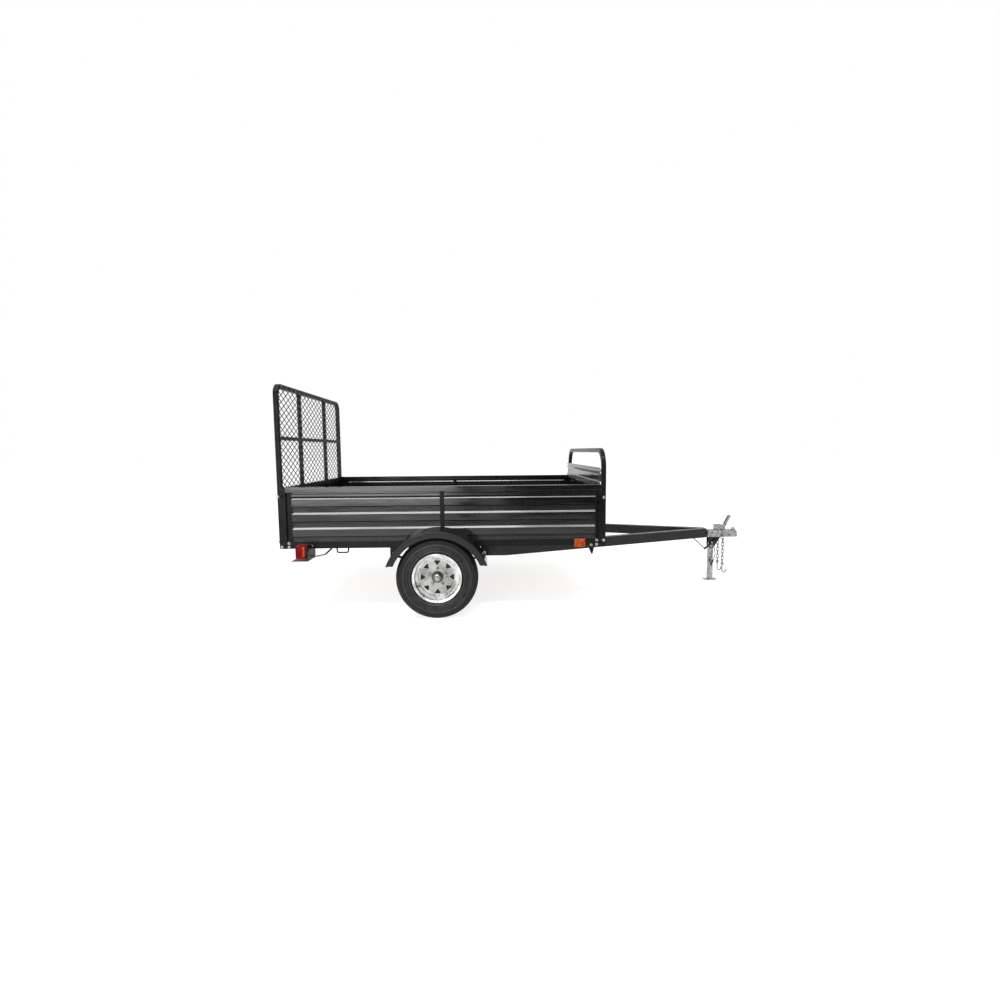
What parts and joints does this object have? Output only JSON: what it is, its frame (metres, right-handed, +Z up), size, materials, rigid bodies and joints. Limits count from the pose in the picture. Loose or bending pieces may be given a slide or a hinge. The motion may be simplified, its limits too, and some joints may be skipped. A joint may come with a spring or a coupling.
{
  "type": "utility trailer",
  "caption": "Single-axle utility trailer with ribbed steel sides, front hoop, fold-down mesh ramp gate, V tongue with ball coupler, fendered wheels and a folding tongue stand",
  "frame": {"origin": "on the ground under the middle of the overall length and width", "axes": "+X forward to the coupler, +Y to the trailer's left, +Z up"},
  "size_m": [3.612, 2.012, 1.6],
  "materials": {
    "frame_black": "black powder coat, satin",
    "panel_black": "black powder coat on ribbed sheet",
    "gate_black": "black powder coat",
    "deck_wood": "planed treated boards",
    "spring_steel": "oiled black spring steel",
    "zinc_steel": "bright zinc plate",
    "galvanised_rim": "galvanised, spangled",
    "hub_grey": "machined and greased steel",
    "tyre_rubber": "black rubber",
    "red_lens": "red lamp lens",
    "amber_lens": "amber marker lens",
    "lead_black": "black sheathed lead"
  },
  "bodies": {
    "chassis": {"side_rail_left": "frame_black", "side_rail_right": "frame_black", "rear_crossmember": "frame_black", "front_crossmember": "frame_black", "crossmembers": "frame_black", "spring_hangers_left": "frame_black", "spring_hangers_right": "frame_black", "top_rail_left": "frame_black", "top_rail_right": "frame_black", "mid_posts": "frame_black", "rear_post_left": "frame_black", "rear_post_right": "frame_black", "front_post_left": "frame_black", "front_post_right": "frame_black", "front_hoop": "frame_black", "tongue_rail_left": "frame_black", "tongue_rail_right": "frame_black", "tongue_head": "frame_black", "stand_bracket": "frame_black", "lamp_bracket_left": "frame_black", "lamp_bracket_right": "frame_black", "plate_bracket": "frame_black", "tie_down_left": "frame_black", "tie_down_right": "frame_black", "corner_gussets": "frame_black", "axle": "frame_black", "side_panel_rear_left": "panel_black", "side_panel_rear_right": "panel_black", "side_panel_front_left": "panel_black", "side_panel_front_right": "panel_black", "front_panel": "panel_black", "fender_left": "panel_black", "fender_right": "panel_black", "fender_braces_left": "panel_black", "fender_braces_right": "panel_black", "deck_boards": "deck_wood", "leaf_spring_left": "spring_steel", "leaf_spring_right": "spring_steel", "coupler_body": "zinc_steel", "coupler_latch": "zinc_steel", "gate_latches": "zinc_steel", "safety_chain_left": "zinc_steel", "safety_chain_right": "zinc_steel", "tail_lens_left": "red_lens", "tail_lens_right": "red_lens", "side_markers": "amber_lens", "tongue_lead": "lead_black", "lamp_leads": "lead_black", "lead_plug": "lead_black", "lead_clip": "lead_black"},
    "right_wheel": {"hub_right": "hub_grey", "rim_right": "galvanised_rim", "tyre_right": "tyre_rubber"},
    "left_wheel": {"hub_left": "hub_grey", "rim_left": "galvanised_rim", "tyre_left": "tyre_rubber"},
    "gate": {"gate_frame": "gate_black", "gate_mesh": "gate_black"},
    "stand": {"stand_leg": "zinc_steel"}
  },
  "joints": [
    {"name": "right_wheel_spin", "type": "hinge", "parent": "chassis", "child": "right_wheel", "pos_m": [-0.686, -0.934, 0.277], "axis": [0, 1, 0], "continuous": true},
    {"name": "left_wheel_spin", "type": "hinge", "parent": "chassis", "child": "left_wheel", "pos_m": [-0.686, 0.934, 0.277], "axis": [0, 1, 0], "continuous": true},
    {"name": "gate_fold", "type": "hinge", "parent": "chassis", "child": "gate", "pos_m": [-1.79, 0, 0.504], "axis": [0, -1, 0], "range_deg": [0, 115]},
    {"name": "stand_fold", "type": "hinge", "parent": "chassis", "child": "stand", "pos_m": [1.578, 0, 0.3], "axis": [0, 1, 0], "range_deg": [0, 90]}
  ]
}
